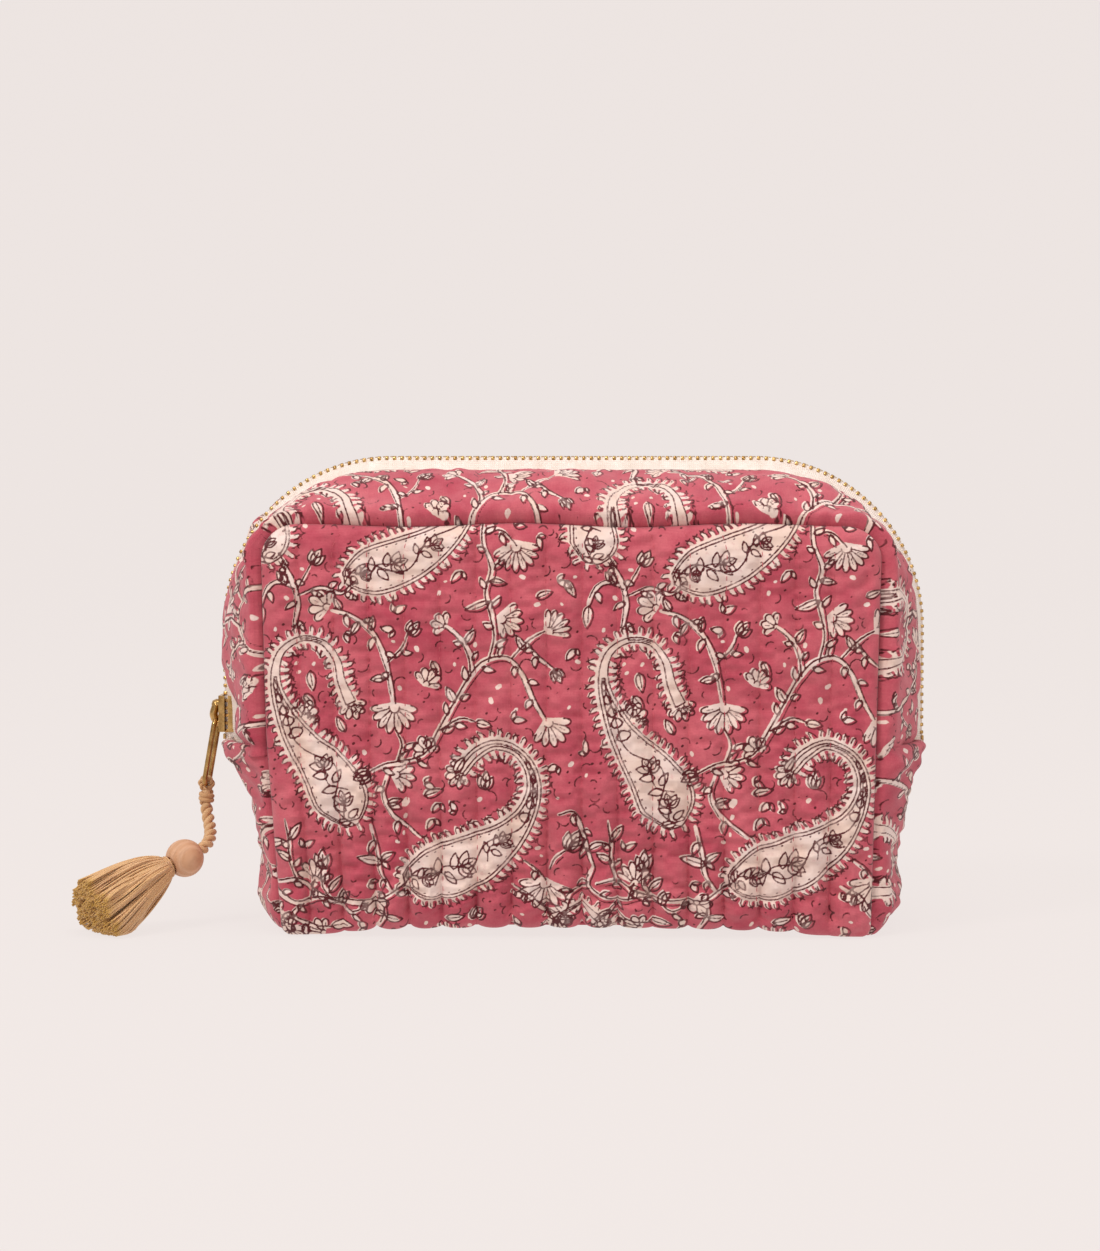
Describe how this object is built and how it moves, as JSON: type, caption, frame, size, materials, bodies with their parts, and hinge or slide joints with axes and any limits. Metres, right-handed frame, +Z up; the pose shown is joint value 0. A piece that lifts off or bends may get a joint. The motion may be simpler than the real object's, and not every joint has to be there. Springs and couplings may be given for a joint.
{
  "type": "quilted makeup bag",
  "caption": "Soft quilted cotton box pouch with a metal zip over the top and down both sides, a slider with a loop pull, and a cord tassel.",
  "frame": {"origin": "centre of the flat base, on the surface that the bag stands on", "axes": "+X along the width, to the right of someone facing the front; the front faces -Y; +Z is up; the slider rests on the -X side"},
  "size_m": [0.2989, 0.0944, 0.1663],
  "materials": {
    "printed_cotton": "block-printed cotton, quilted, cream and dark red print on raspberry pink",
    "wadding": "cotton wadding",
    "lining": "plain woven cotton",
    "binding_tape": "folded cotton bias tape",
    "zip_tape": "cream woven herringbone tape",
    "brass": "polished antique brass",
    "cord": "twisted two-ply cord",
    "wood": "turned pale wood, oiled",
    "tassel_yarn": "lustrous cut yarn"
  },
  "bodies": {
    "bag": {"front_cover_lower": "printed_cotton", "front_wadding_lower": "wadding", "front_lining_lower": "lining", "front_binding_lower": "binding_tape", "back_cover_lower": "printed_cotton", "back_wadding_lower": "wadding", "back_lining_lower": "lining", "back_binding_lower": "binding_tape", "bottom_gusset": "printed_cotton", "bottom_gusset_wadding": "wadding", "bottom_gusset_lining": "lining", "side_strips": "printed_cotton", "side_strips_wadding": "wadding", "side_strips_lining": "lining", "tape_ends": "zip_tape", "end_teeth": "brass", "top_stops": "brass", "bottom_stop": "brass"},
    "front_flap": {"front_cover_upper": "printed_cotton", "front_wadding_upper": "wadding", "front_lining_upper": "lining", "front_binding_upper": "binding_tape", "front_strip": "printed_cotton", "front_strip_wadding": "wadding", "front_strip_lining": "lining", "front_tape": "zip_tape", "front_teeth": "brass"},
    "back_flap": {"back_cover_upper": "printed_cotton", "back_wadding_upper": "wadding", "back_lining_upper": "lining", "back_binding_upper": "binding_tape", "back_strip": "printed_cotton", "back_strip_wadding": "wadding", "back_strip_lining": "lining", "back_tape": "zip_tape", "back_teeth": "brass"},
    "slider": {"slider_body": "brass", "slider_bridge": "brass"},
    "pull": {"pull_loop": "brass"},
    "hitch": {"cord_loop": "cord"},
    "tassel": {"tassel_knot": "cord", "tassel_cord": "cord", "tassel_bead": "wood"},
    "skirt": {"tassel_neck": "tassel_yarn", "tassel_skirt": "tassel_yarn"}
  },
  "joints": [
    {"name": "front_open", "type": "hinge", "parent": "bag", "child": "front_flap", "pos_m": [0, -0.044, 0.09356], "axis": [1, 0, 0], "range_deg": [0, 25]},
    {"name": "back_open", "type": "hinge", "parent": "bag", "child": "back_flap", "pos_m": [0, 0.044, 0.09221], "axis": [-1, 0, 0], "range_deg": [0, 25]},
    {"name": "zip_slide", "type": "slide", "parent": "bag", "child": "slider", "axis": [0, 0, 1], "range_m": [0, 0.025]},
    {"name": "pull_swing", "type": "hinge", "parent": "slider", "child": "pull", "pos_m": [-0.128, 0, 0.0715], "axis": [0, 1, 0], "range_deg": [0, 100]},
    {"name": "hitch_swing", "type": "hinge", "parent": "pull", "child": "hitch", "pos_m": [-0.132, 0, 0.0485], "axis": [0, 1, 0], "range_deg": [0, 25]},
    {"name": "cord_sway", "type": "hinge", "parent": "hitch", "child": "tassel", "pos_m": [-0.132, 0, 0.0465], "axis": [-1, 0, 0], "range_deg": [0, 30]},
    {"name": "skirt_swing", "type": "hinge", "parent": "tassel", "child": "skirt", "pos_m": [-0.137, -0.02, 0.024], "axis": [-0.6, 0.8, 0], "range_deg": [0, 20]}
  ]
}
